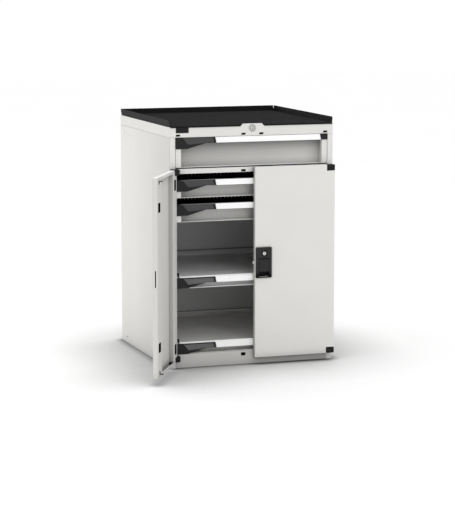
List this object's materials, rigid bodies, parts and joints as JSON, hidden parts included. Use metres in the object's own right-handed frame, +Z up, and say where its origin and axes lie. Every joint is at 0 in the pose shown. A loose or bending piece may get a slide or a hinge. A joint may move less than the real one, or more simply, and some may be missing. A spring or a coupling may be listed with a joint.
{
  "type": "multi-drawer cabinet",
  "caption": "Floor-standing steel drawer cabinet with double doors, inner drawers, pull-out shelves, a rimmed top tray with a mat, key locks and telescopic slides.",
  "frame": {"origin": "on the floor, under the middle of the body and of the four floor bolt holes; the open left door reaches out beyond the front", "axes": "+X to the right and +Y to the back for someone who faces the front, +Z up"},
  "size_m": [0.8881, 1.0578, 1.027],
  "materials": {
    "grey_paint": "fine textured light grey powder coat",
    "dark_paint": "fine textured anthracite powder coat",
    "black_paint": "satin black powder coat",
    "zinc": "bright zinc plating",
    "nickel": "polished nickel plating",
    "white_strip": "smooth white",
    "cap_plastic": "moulded charcoal grey, lightly grained",
    "hinge_plastic": "moulded black",
    "case_plastic": "moulded black, satin",
    "badge_plastic": "smooth black",
    "ribbed_rubber": "dull charcoal, fine ribs"
  },
  "bodies": {
    "cabinet": {"side_panel_left": "grey_paint", "side_panel_right": "grey_paint", "slotted_uprights": "zinc", "back_panel": "grey_paint", "inner_back_panel": "grey_paint", "back_screws": "zinc", "base": "grey_paint", "top_cover": "grey_paint", "cross_rail": "grey_paint", "top_tray": "black_paint", "rubber_mat": "ribbed_rubber", "badge_plate": "badge_plastic", "fixed_slides": "zinc", "hinge_blocks": "hinge_plastic", "hinge_pins": "zinc", "top_lock_ring": "nickel"},
    "top_lock": {"top_lock_core": "nickel", "lock_shaft": "zinc"},
    "drawer_lock_bar": {"lock_bar": "zinc"},
    "top_drawer": {"top_drawer_box": "dark_paint", "top_drawer_front": "grey_paint", "top_drawer_handle": "grey_paint", "top_drawer_label": "white_strip", "top_drawer_caps": "cap_plastic", "top_drawer_runners": "zinc"},
    "top_drawer_slides": {"top_drawer_mid_slides": "zinc"},
    "upper_inner_drawer": {"upper_inner_drawer_box": "dark_paint", "upper_inner_drawer_front": "grey_paint", "upper_inner_drawer_handle": "grey_paint", "upper_inner_drawer_label": "white_strip", "upper_inner_drawer_caps": "cap_plastic", "upper_inner_drawer_runners": "zinc"},
    "upper_inner_drawer_slides": {"upper_inner_drawer_mid_slides": "zinc"},
    "lower_inner_drawer": {"lower_inner_drawer_box": "dark_paint", "lower_inner_drawer_front": "grey_paint", "lower_inner_drawer_handle": "grey_paint", "lower_inner_drawer_label": "white_strip", "lower_inner_drawer_caps": "cap_plastic", "lower_inner_drawer_runners": "zinc"},
    "lower_inner_drawer_slides": {"lower_inner_drawer_mid_slides": "zinc"},
    "upper_shelf": {"upper_shelf_pan": "grey_paint", "upper_shelf_handle": "grey_paint", "upper_shelf_label": "white_strip", "upper_shelf_caps": "cap_plastic", "upper_shelf_runners": "zinc"},
    "upper_shelf_slides": {"upper_shelf_mid_slides": "zinc"},
    "lower_shelf": {"lower_shelf_pan": "grey_paint", "lower_shelf_handle": "grey_paint", "lower_shelf_label": "white_strip", "lower_shelf_caps": "cap_plastic", "lower_shelf_runners": "zinc"},
    "lower_shelf_slides": {"lower_shelf_mid_slides": "zinc"},
    "left_door": {"left_door_panel": "grey_paint", "left_door_catches": "zinc"},
    "right_door": {"right_door_panel": "grey_paint", "right_door_catches": "zinc", "lock_case": "case_plastic"},
    "door_paddle": {"paddle": "case_plastic"},
    "door_lock": {"door_lock_core": "nickel"},
    "door_bolt": {"latch_bolt": "zinc"}
  },
  "joints": [
    {"name": "top_drawer_slide", "type": "slide", "parent": "cabinet", "child": "top_drawer", "axis": [0, -1, 0], "range_m": [0, 0.6]},
    {"name": "top_drawer_mid_slide", "type": "slide", "parent": "cabinet", "child": "top_drawer_slides", "axis": [0, -1, 0], "range_m": [0, 0.3]},
    {"name": "upper_inner_drawer_slide", "type": "slide", "parent": "cabinet", "child": "upper_inner_drawer", "axis": [0, -1, 0], "range_m": [0, 0.0035]},
    {"name": "upper_inner_drawer_mid_slide", "type": "slide", "parent": "cabinet", "child": "upper_inner_drawer_slides", "axis": [0, -1, 0], "range_m": [0, 0.00175]},
    {"name": "lower_inner_drawer_slide", "type": "slide", "parent": "cabinet", "child": "lower_inner_drawer", "axis": [0, -1, 0], "range_m": [0, 0.0035]},
    {"name": "lower_inner_drawer_mid_slide", "type": "slide", "parent": "cabinet", "child": "lower_inner_drawer_slides", "axis": [0, -1, 0], "range_m": [0, 0.00175]},
    {"name": "upper_shelf_slide", "type": "slide", "parent": "cabinet", "child": "upper_shelf", "axis": [0, -1, 0], "range_m": [0, 0.0035]},
    {"name": "upper_shelf_mid_slide", "type": "slide", "parent": "cabinet", "child": "upper_shelf_slides", "axis": [0, -1, 0], "range_m": [0, 0.00175]},
    {"name": "lower_shelf_slide", "type": "slide", "parent": "cabinet", "child": "lower_shelf", "axis": [0, -1, 0], "range_m": [0, 0.0035]},
    {"name": "lower_shelf_mid_slide", "type": "slide", "parent": "cabinet", "child": "lower_shelf_slides", "axis": [0, -1, 0], "range_m": [0, 0.00175]},
    {"name": "left_door_hinge", "type": "hinge", "parent": "cabinet", "child": "left_door", "pos_m": [-0.352, -0.3841, 0.43], "axis": [0, 0, 1], "range_deg": [0, 120]},
    {"name": "right_door_hinge", "type": "hinge", "parent": "cabinet", "child": "right_door", "pos_m": [0.352, -0.3841, 0.43], "axis": [0, 0, 1], "range_deg": [0, 120]},
    {"name": "top_lock_turn", "type": "hinge", "parent": "cabinet", "child": "top_lock", "pos_m": [0, -0.3625, 0.989], "axis": [0, -1, 0], "range_deg": [0, 90]},
    {"name": "lock_bar_lift", "type": "slide", "parent": "cabinet", "child": "drawer_lock_bar", "axis": [0, 0, 1], "range_m": [0, 0.008]},
    {"name": "door_lock_turn", "type": "hinge", "parent": "right_door", "child": "door_lock", "pos_m": [0.0435, -0.389, 0.468], "axis": [0, 1, 0], "range_deg": [0, 90]},
    {"name": "door_bolt_throw", "type": "slide", "parent": "right_door", "child": "door_bolt", "axis": [-1, 0, 0], "range_m": [0, 0.008]},
    {"name": "paddle_pull", "type": "hinge", "parent": "right_door", "child": "door_paddle", "pos_m": [0.041, -0.3895, 0.44], "axis": [-1, 0, 0], "range_deg": [0, 35], "stiffness_Nm_per_rad": 0.3}
  ],
  "couplings": [
    {"joint": "top_drawer_mid_slide", "follows": "top_drawer_slide", "ratio": 0.5},
    {"joint": "upper_inner_drawer_mid_slide", "follows": "upper_inner_drawer_slide", "ratio": 0.5},
    {"joint": "lower_inner_drawer_mid_slide", "follows": "lower_inner_drawer_slide", "ratio": 0.5},
    {"joint": "upper_shelf_mid_slide", "follows": "upper_shelf_slide", "ratio": 0.5},
    {"joint": "lower_shelf_mid_slide", "follows": "lower_shelf_slide", "ratio": 0.5},
    {"joint": "top_lock_turn", "follows": "lock_bar_lift", "rad_per_m": 196.3},
    {"joint": "door_lock_turn", "follows": "door_bolt_throw", "rad_per_m": 196.3}
  ]
}
